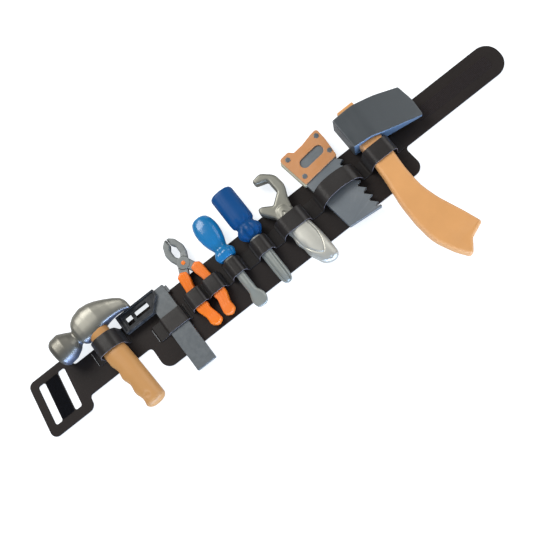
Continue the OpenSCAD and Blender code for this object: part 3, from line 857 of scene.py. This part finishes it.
def build_hammer():
    handle = loft("hammer_grip", [
        (-89.5, -8.4, 17.2, 12.0), (-84, -9.8, 18.4, 13.0), (-60, -10.4, 19.4, 13.6),
        (-30, -11.0, 20.4, 13.8), (-8, -11.2, 20.6, 13.6), (6, -9.9, 19.2, 12.8), (22, -9.2, 17.8, 12.3),
        (30, -9.6, 18.4, 12.8), (34, -9.6, 18.4, 12.8)], power=2.3, ends=(7.0, 2.0), width=3.5, count=72)

    def shape(co):
        """Finger grooves down the left side and a round mark near the end."""
        x, y, z = co.T
        left = np.clip((4 - x) / 14, 0, 1)
        wave = 0.5 - 0.5 * np.cos((y + 14) / 24 * 2 * math.pi)
        groove = 2.2 * wave * smoothstep(-y, 6, 14) * (1 - smoothstep(-y, 80, 88))
        co[:, 0] = x + groove * left
        ring = np.hypot(x - 2, y + 75)
        dent = 0.6 * np.exp(-((ring - 4.4) / 1.2) ** 2) - 0.7 * np.exp(-(ring / 3.2) ** 2)
        co[:, 2] = z + np.where(z > 0, dent, 0)
        return co

    bend_points(handle, shape)
    fit(handle, "hammer", TAN, "hammer_handle")

    head = loft("hammer_head_shell", [
        (-55, 30.5, 59.5, 14.2), (-53.4, 27.6, 62.4, 16.2), (-49, 25.2, 65.2, 18.4),
        (-37.5, 25.6, 65.6, 18.6), (-36.5, 26.0, 65.2, 18.3), (-27, 29.6, 59.4, 14.2),
        (-21.5, 34.0, 55.6, 10.3), (-19.2, 34.4, 55.8, 10.3), (-17.8, 31.6, 59.6, 12.2, 2.35, 2.6),
        (-14.5, 28.8, 64.2, 14.2, 2.35, 2.9), (-7, 27.2, 68.8, 15.4, 2.35, 3.4),
        (5.7, 27.4, 71.2, 15.8, 2.35, 3.8), (18, 30.4, 68.4, 14.4, 2.35, 3.8),
        (27, 31.0, 64.4, 11.8, 2.35, 3.6), (37, 30.6, 58.2, 9.4, 2.35, 3.4),
        (47, 28.6, 50.8, 7.8, 2.5, 3.2), (53, 26.4, 45.2, 6.8, 2.8, 3.0),
        (56.8, 25.2, 40.4, 6.2, 2.8, 2.8),
    ], ends=(0.9, 3.4), along="x", width=1.3, count=88, step=0.8)
    notch = plate("claw_notch", [rounded([(36, -1.0, 0), (42, -1.5, 0), (64, -2.4, 0), (64, 2.4, 0),
                                          (42, 1.5, 0), (36, 1.0, 0)])], 15, 80, 0.01, 0)
    notch.data.transform(Matrix.Rotation(math.radians(90), 4, "X") @ Matrix.Translation((0, 0, -0.095)))
    cut(head, notch)
    fit(head, "hammer", HAMMER_SILVER_PAINTED_LIGHT, "hammer_head", slot="silver_plastic", smooth_angle=45)


def build_square():
    w = 14.25
    blade = plate("square_blade_bar", [rectangle(-w, -85.6, w, 33.3, 1.2)], 0, 7, 0.7)
    lug = plate("lug", [rectangle(w - 1.5, 20, w + 3.2, 30, 0.8)], 1.4, 5.2, 0.5)
    blade = joined("square_blade_bar", blade, lug)
    fit(blade, "square", BLADE_GREY, "square_blade")
    x0, x1, y0, y1 = -60.0, 1.0, 8.7, 35.2
    rim = 2.6
    outer = rounded([(x0, y0, 1.2), (x1 - 17, y0, 2), (x1, y0 + 17, 2), (x1, y1, 1.2), (x0, y1, 1.2)])
    inner = rounded([(x0 + rim, y0 + rim, 0.8), (x1 - 18.2, y0 + rim, 0.8), (x1 - rim, y0 + 18, 0.8),
                     (x1 - rim, y1 - rim, 0.8), (x0 + rim, y1 - rim, 0.8)])
    small = rectangle(x0 + 8.6, y0 + 6, x0 + 18.6, y1 - 7, 0.8)
    long = rectangle(x0 + 22.6, y0 + 7.6, x0 + 44.6, y1 - 7.4, 0.8)
    frame_ring = plate("stock_rim", [outer, inner], 7.2, 11.6, 0.6)
    floor = rounded([(x0 + 1, y0 + 1, 1), (x1 - 17.5, y0 + 1, 1), (x1 - 1, y0 + 17.5, 1),
                     (x1 - 1, y1 - 1, 1), (x0 + 1, y1 - 1, 1)])
    web = plate("stock_web", [floor, small, long], 7.3, 9.4, 0.4)
    border = rounded([(x0, y0, 1.2), (-w - 0.4, y0, 0.3), (-w - 0.4, y1, 0.3), (x0, y1, 1.2)])
    wall = plate("stock_wall", [border, small, long], 0, 8.2, 0.5)
    rib = plate("stock_rib", [rectangle(x0 + 5.2, y0 + 2, x0 + 6.6, y1 - 2, 0.4)], 8.8, 10.8, 0.3)
    stock = joined("square_stock_block", frame_ring, web, wall, rib)
    fit(stock, "square", SLATE, "square_stock")


def circle(radius, count=56):
    angles = np.linspace(0, 2 * math.pi, count, endpoint=False)
    return [(radius * math.cos(a), radius * math.sin(a)) for a in angles]


def lever_shape(name):
    outline = rounded([
        (-8, 2, 2), (-12.6, 12, 6), (-13.8, 22, 7), (-9.5, 34, 6), (-3.6, 39.4, 3), (-0.4, 39.8, 0.8),
        (-0.4, 30, 1), (-4.6, 24, 4), (-4.6, 14, 4), (0, 7, 1), (8, 3, 2), (15, -12, 2), (17, -34, 1.5),
        (12, -36, 1.5), (3.6, -17, 3), (-1.2, -7, 2)])
    return plate(name, [outline], -4.9, 4.9, 1.9, 4)


SLEEVE_HALF = 7.45  # half the thickness of a pliers' grip: it clears the strip that lies on the belt


def build_pliers():
    for side, tag, hand in ((1, "front", "right"), (-1, "back", "left")):
        body = "pliers_" + hand
        turn = Matrix.Identity(4) if side > 0 else Matrix.Rotation(math.pi, 4, "Y")
        lift = Matrix.Translation((0, 36.0 * MM, 0))
        lever = lever_shape("pliers_jaw_" + tag)
        lower = plate("lower", [circle(9.4)], -9, 0.15, 0.01, 0)
        cut(lever, lower)
        boss = plate("boss", [circle(9.0)], 0.15, 5.6, 1.0, 3)
        lever = joined("pliers_jaw_" + tag, lever, boss)
        lever.data.transform(turn)
        lever.data.transform(lift)
        fit(lever, "pliers", JAW_GREY, "pliers_lever_" + tag, body=body)

        grip = plate("pliers_sleeve_" + tag, [rounded([
            (3.4, -11.5, 3), (12, -7.6, 4), (18.4, -11.5, 4), (19.4, -30, 12), (22.6, -50, 12),
            (22.8, -63, 8), (18.4, -76, 8), (18.8, -87, 5), (11, -92.6, 6), (2.2, -88, 4.5),
            (3.6, -78, 8), (6.4, -67, 2.5), (5.2, -60, 2.5), (9.8, -52, 4), (8.8, -42, 10), (7.0, -30, 5),
            (4.2, -20, 5)])],
            -SLEEVE_HALF, SLEEVE_HALF, 3.1, 4)
        moulded(grip, 0.6, 5)

        def ridges(co):
            """Lengthwise grooves on both flat faces, fading out towards the ends."""
            x, y, z = co.T
            middle = np.interp(-y, [10, 30, 50, 60, 80, 92], [11, 13.2, 15.8, 14.2, 11, 10.5])
            groove = 0.5 + 0.5 * np.cos((x - middle) * 2 * math.pi / 3.4)
            strength = smoothstep(-y, 11, 16) * (1 - smoothstep(-y, 74, 82))
            strength = strength * np.clip(np.abs(z) / SLEEVE_HALF, 0, 1) ** 6
            co[:, 2] = z - np.sign(z) * 0.55 * groove * strength
            return co

        bend_points(grip, ridges)
        grip.data.transform(turn)
        grip.data.transform(lift)
        fit(grip, "pliers", ORANGE, "pliers_grip_" + hand, body=body)

    half_pin = [(5.0, 2.7), (5.2, 3.0), (6.2, 2.8), (6.6, 2.0)]
    knots = [(side * y, radius, 0) for y, radius in half_pin for side in (-1, 1)]
    pin = lobed("pliers_pin", knots, 1, 0.0, ends=(0.6, 0.6), width=0.15, count=40)
    pin.data.transform(Matrix.Translation((0, 36.0 * MM, 0)) @ Matrix.Rotation(math.radians(90), 4, "X"))
    fit(pin, "pliers", ORANGE, "pliers_pivot_pin", body="pliers_pivot")


def flatten_z(obj, limit):
    """Squeezes a turned handle softly to within limit of its middle plane."""

    def change(co):
        z = co[:, 2]
        top = np.abs(z).max()
        co[:, 2] = limit * np.sin(np.clip(z / top, -1, 1) * math.pi / 2) * 0.35 + z * (limit / top) * 0.65
        return co

    bend_points(obj, change)


def build_flat_driver():
    handle = lobed("flat_driver_grip", [
        (3.5, 11.8, 0.3), (6.5, 13.4, 0.9), (10, 15.0, 1.2), (13, 14.9, 1.2), (16.5, 11.8, 0.8),
        (20, 9.6, 0.5), (24, 10.8, 0.4), (30, 13.3, 0.35), (38, 15.4, 0.35), (47, 16.5, 0.35),
        (55, 16.2, 0.35), (62, 14.6, 0.3), (67, 12.0, 0.2),
        (70.6, 9.4, 0.1)], 5, 1.7, ends=(1.6, 4.0), sharp=0.9, width=1.8)
    flatten_z(handle, 12.0)
    fit(handle, "flat_driver", BRIGHT_BLUE, "flat_driver_handle")
    shaft = loft("flat_driver_bar", [
        (-72.6, -5.0, 5.2, 2.4), (-70, -7.6, 8.2, 2.8), (-65, -9.2, 10.6, 3.1), (-59, -9.2, 10.8, 3.5),
        (-54, -7.6, 9.0, 4.2), (-50, -5.8, 6.6, 5.0), (-46, -5.7, 6.3, 5.8), (-40, -6.0, 6.4, 6.2),
        (-20, -6.2, 6.4, 6.2), (0.2, -6.2, 6.2, 6.2), (0.6, -7.6, 7.6, 7.2),
        (3.6, -7.6, 7.6, 7.2)], power=2.1, ends=(2.6, 0.5), width=1.6)
    fit(shaft, "flat_driver", SHAFT_GREY, "flat_driver_shaft")


def build_cross_driver():
    handle = lobed("cross_driver_grip", [
        (3, 9.4, 0.3), (5.5, 11.8, 0.8), (9, 15.0, 1.3), (13, 17.0, 1.5), (17, 16.9, 1.5),
        (20.5, 15.2, 0.9), (23, 13.0, 0.3), (26, 13.0, 0.3), (28.2, 15.4, 0.9), (31, 16.2, 0.9),
        (36, 16.4, 0.25), (50, 16.4, 0.2), (75.5, 16.4, 0.2), (78.4, 15.2, 0.1),
        (79.4, 13.6, 0.1)], 8, 2.5, ends=(1.5, 0.7), sharp=0.9,
        width=0.6, count=128)
    flatten_z(handle, 12.5)
    fit(handle, "cross_driver", DEEP_BLUE, "cross_driver_handle")
    shaft = lobed("cross_driver_bar", [
        (-69.5, 4.2, 0.5), (-66, 6.2, 0.9), (-60, 7.8, 1.0), (-54, 8.3, 1.0), (-34, 8.3, 0.75),
        (-20, 8.3, 0.25), (-8, 8.3, 0), (3, 8.3, 0)], 4, 3.2, ends=(2.4, 0.6), sharp=0.45, width=2.0)
    fit(shaft, "cross_driver", SHAFT_GREY, "cross_driver_shaft")


def build_wrench():
    grip = loft("grip", [
        (-84.5, -1.0, 11.6, 6.6), (-80, -6.6, 14.4, 8.6), (-74, -10.8, 15.4, 9.7),
        (-66, -14.0, 16.2, 10.4), (-50, -16.0, 17.4, 11.0), (-36, -16.5, 17.7, 11.0),
        (-24, -15.8, 17.2, 11.0), (-12, -14.4, 15.6, 10.6), (0, -13.4, 13.9, 10.2),
        (10, -12.8, 13.6, 9.6), (16, -11.6, 12.6, 9.0)],
        power=2.35, ends=(6.0, 4.0), width=3.5, count=72)
    jaw = plate("jaw", [rounded([
        (-12.6, 0, 2), (-13.2, 7, 4), (-16.5, 13, 4), (-23.4, 24.6, 3.2), (-20.6, 31.8, 2.4),
        (-14.5, 30.6, 3), (-3.3, 21.4, 2.5), (12.6, 31, 2.5), (14.2, 50.4, 2.5), (-0.6, 57.2, 1.8),
        (-0.8, 64.4, 3), (13.5, 65.4, 9), (27, 50, 16), (26.8, 32, 14), (17, 15, 10),
        (13.2, 3, 4)])], -8.2, 8.2, 3.4, 5)
    wrench = joined("wrench_shell", grip, jaw)
    moulded(wrench, 0.6, 8)

    def shape(co):
        x, y, z = co.T
        left = np.clip(-x / 15, 0, 1)
        wave = 0.5 - 0.5 * np.cos((y + 16) / 21 * 2 * math.pi)
        groove = 1.3 * wave * smoothstep(-y, 14, 24) * (1 - smoothstep(-y, 70, 80))
        co[:, 0] = x + groove * left
        along = np.abs(np.where(y < -36, (y + 36) / 32.5, (y + 36) / 42))
        half = 13.6 * np.clip(1 - along * along, 0, 1) ** 0.8
        edge = np.abs(x - 0.2) - half
        line = np.exp(-(edge / 0.8) ** 2) * (along < 1)
        panel = smoothstep(-edge, 0.2, 1.8) * (along < 1)
        co[:, 2] = z + np.sign(z) * np.where(np.abs(z) > 2.5, 0.45 * panel - 0.85 * line, 0)
        eye = np.hypot(x - 2.6, y + 79.5)
        co[:, 2] -= np.sign(z) * 1.0 * np.exp(-(eye / 1.4) ** 2) * (np.abs(z) > 2.5)
        return co

    bend_points(wrench, shape)
    fit(wrench, "wrench", SILVER, "wrench", smooth_angle=60)


def build_saw():
    pitch, depth = 12.0, 6.4
    teeth = []
    for i in range(7):
        edge = 29.6 - 1.3 * i
        teeth.append((edge - depth, 18.5 - pitch * i, 0.5))
        teeth.append((edge, 15.5 - pitch * (i + 0.45), 0.3))
        teeth.append((edge - 0.5 - depth, 14.5 - pitch * (i + 0.5), 0.3))
    corners = [(-29.3, 66, 3), (-27.2, 16.8, 0), (-25.8, -59.6, 1.2), (21, -69, 0.6), (21.4, -66.4, 0.3)]
    corners += list(reversed(teeth))
    corners += [(26.6, 22, 1), (32.6, 61, 3), (22, 62, 3), (-9, 60, 3), (-14.5, 66, 2)]
    core = plate("saw_blade_core", [rounded(corners)], -4.5, 4.5, 0.6)
    fit(core, "saw", SAW_GREY, "saw_blade", slot="blade_grey_plastic")
    # Painted highlight: a pale strip along the handle's left edge stands for the grey core's lit side.
    corners = [(-31.8, 65.5, 4), (-24, 66, 1), (-23, 18.6, 1), (-29.8, 18.2, 2)]
    spine = plate("saw_spine", [rounded(corners)], -4.3, 4.6, 0.8)
    fit(spine, "saw", PAINTED_LIT_SIDE, slot="blade_grey_plastic")
    outline = rounded([(-29.8, 67.6, 4), (-14.2, 67.6, 2.5), (-9, 61.4, 3), (6, 61.4, 20), (22, 63.8, 12),
                       (33.8, 64.2, 4), (32.6, 47, 30), (27.6, 19.6, 2.5), (-27.6, 19.4, 2)])
    slot_hole = rectangle(-15, 34.4, 22.2, 48.2, 6.8)
    for side, z0 in (("front", 4.4), ("back", -6.9)):
        cheek = plate("saw_cheek_" + side, [outline, slot_hole], z0, z0 + 2.5, 0.7)
        fit(cheek, "saw", ORANGE_TAN, "saw_%s_plate" % side)
    rivets = []
    for x, y in ((-21.2, 60), (27, 57), (25.6, 30.8), (-20.8, 28.4)):
        ring = [(x + px, y + py) for px, py in circle(3.7, 6)]
        rivets.append(plate("rivet", [ring], -7.9, 7.9, 0.7, 3))
    rivets = joined("saw_rivet_set", *rivets)
    fit(rivets, "saw", RIVET_GREY, "saw_rivets")


def build_axe():
    corners = [(-24, 10.2, 2.5), (2, 8.0, 40), (18, 3.6, 60), (72.5, -7.5, 2), (75, 16, 60),
               (71.5, 41.5, 2), (38, 52, 90), (8, 57, 60), (-24, 56, 2.5)]
    head = plate("axe_head_shell", [rounded(corners)], -17, 17, 1.8, 4)
    slice_along(head, 0, [float(x) for x in range(-20, 76, 4)])

    def wedge(co):
        share = np.interp(co[:, 0], [-24, -4, 10, 30, 55, 70, 76], [1, 1, 0.92, 0.68, 0.38, 0.19, 0.12])
        co[:, 2] *= share
        return co

    bend_points(head, wedge)
    fit(head, "axe", DARK_SLATE, "axe_head")

    outline = rounded([
        (14.6, 12, 0), (-16.2, 12, 0), (-16.0, -14, 60), (-18.0, -42, 200), (-23.8, -82, 120),
        (-24.6, -112, 90), (-22.0, -142, 60), (-9.0, -170, 60), (3.2, -187, 4), (12.0, -176, 8),
        (16.5, -169.6, 8), (38.6, -160.6, 4), (30.5, -137, 60), (17.5, -104, 80), (10.6, -78, 80),
        (10.4, -46, 100), (13.6, -14, 60)])
    shaft = plate("shaft", [outline], -10, 10, 4.2, 5)
    nub = plate("nub", [rectangle(-11.4, 40, 13.4, 62.6, 1.6)], -9, 9, 1.6, 3)
    shaft = joined("axe_shaft", shaft, nub)
    fit(shaft, "axe", LIGHT_TAN, "axe_handle")


build_hammer()
build_square()
build_pliers()
build_flat_driver()
build_cross_driver()
build_wrench()
build_saw()
build_axe()

# ---- Floor, light and camera -----------------------------------------------------------------------


def build_floor():
    """A pale sheet of paper that sinks by itself when a pose brings the belt below it."""
    floor = mesh_object("floor", [(-9000, -9000, 0), (9000, -9000, 0), (9000, 9000, 0), (-9000, 9000, 0)],
                        [(0, 1, 2, 3)])
    s = Shader("floor_paper")
    cloud = s.span(s.noise(2, 2, 0.5), 0.3, 0.7, 0, 1)
    s.set("Base Color", s.mix(cloud, (0.50, 0.50, 0.51), (0.53, 0.53, 0.54)))
    s.set("Roughness", 0.85)
    s.set("Emission Color", (0.92, 0.96, 1.0))
    seen = s.node("LightPath").outputs["Is Camera Ray"]
    s.set("Emission Strength", s.span(seen, 0, 1, 0.12, 0.80))
    floor.data.materials.append(s.material)
    driver = floor.driver_add("location", 2).driver
    names = []
    for body, x in (("buckle_end", -374), ("buckle_end", -306), ("hammer_section", -212),
                    ("axe_section", 215), ("tail_base", 296), ("tail_tip", 382)):
        mark = link(bpy.data.objects.new("floor_mark_%d" % len(names), None))
        mark.parent = frame["bodies"][body]
        mark.location = (x * MM, 0, 0)
        low = driver.variables.new()
        low.name = "low_%d" % len(names)
        low.type = "TRANSFORMS"
        low.targets[0].id = mark
        low.targets[0].transform_type = "LOC_Z"
        low.targets[0].transform_space = "WORLD_SPACE"
        names.append(low.name)
    driver.expression = "min(0, %s)" % ", ".join(names)


def build_light():
    """A pale studio with darker walls in reflections, a warm key above, a low cool fill and a side fill."""
    world = bpy.data.worlds.new("studio")
    bpy.context.scene.world = world
    world.use_nodes = True
    tree = world.node_tree
    direction = tree.nodes.new("ShaderNodeTexCoord").outputs["Generated"]
    split = tree.nodes.new("ShaderNodeSeparateXYZ")
    tree.links.new(direction, split.inputs["Vector"])

    def sky(start, wall):
        """A ramp from the colour of the walls, at this height, to that of the ceiling."""
        ramp = tree.nodes.new("ShaderNodeValToRGB")
        low, high = ramp.color_ramp.elements
        low.position, low.color = start, (*wall, 1)
        high.position, high.color = 0.95, (0.34, 0.34, 0.34, 1)
        tree.links.new(split.outputs["Z"], ramp.inputs["Fac"])
        return ramp.outputs["Color"]

    def choose(ray, otherwise, colour):
        """One colour for a kind of ray and another for the rest."""
        mix = tree.nodes.new("ShaderNodeMix")
        mix.data_type = "RGBA"
        tree.links.new(rays[ray], mix.inputs[0])
        tree.links.new(otherwise, mix.inputs[6])
        if isinstance(colour, tuple):
            mix.inputs[7].default_value = (*colour, 1)
        else:
            tree.links.new(colour, mix.inputs[7])
        return mix.outputs[2]

    rays = tree.nodes.new("ShaderNodeLightPath").outputs
    mirrored = choose("Is Glossy Ray", sky(0.0, (0.78, 0.79, 0.80)), sky(0.35, (0.12, 0.12, 0.13)))
    seen = choose("Is Camera Ray", mirrored, (0.95, 0.96, 0.98))
    tree.links.new(seen, tree.nodes["Background"].inputs["Color"])

    def area(name, position, size, power, colour):
        light = bpy.data.lights.new(name, "AREA")
        light.shape = "RECTANGLE"
        light.size = size[0]
        light.size_y = size[1]
        light.energy = power
        light.color = colour
        obj = link(bpy.data.objects.new(name, light))
        obj.location = position
        obj.rotation_euler = (-Vector(position)).to_track_quat("-Z", "Y").to_euler()
        obj.visible_camera = False

    area("key_softbox", (-0.5, 1.25, 1.5), (1.2, 0.9), 29, (1.0, 0.98, 0.94))
    area("low_fill", (-0.1, -1.25, 0.14), (2.3, 0.27), 31, (0.54, 0.71, 1.0))
    area("side_fill", (1.5, 0.2, 1.0), (0.9, 1.2), 6, (1.0, 0.99, 0.97))


def build_camera():
    """Looks down on the belt from a little below it, turned so that the belt rises to the right."""
    distance = 1.05
    tilt, roll = math.radians(13), math.radians(37.48)
    target = Vector((-0.02717, -0.03205, 0))
    back = Vector((0, -math.tan(tilt), 1)).normalized()
    across = Vector((math.sin(roll), math.cos(roll), 0)).cross(back).normalized()
    camera = bpy.data.cameras.new("camera")
    camera.sensor_width = 36
    camera.lens = 55.0
    camera.clip_start = 0.05
    obj = link(bpy.data.objects.new("camera", camera))
    turn = Matrix((across, back.cross(across), back)).transposed()
    obj.matrix_world = Matrix.Translation(target + back * distance) @ turn.to_4x4()
    bpy.context.scene.camera = obj


build_floor()
build_light()
build_camera()
bpy.context.scene.view_settings.view_transform = "Standard"
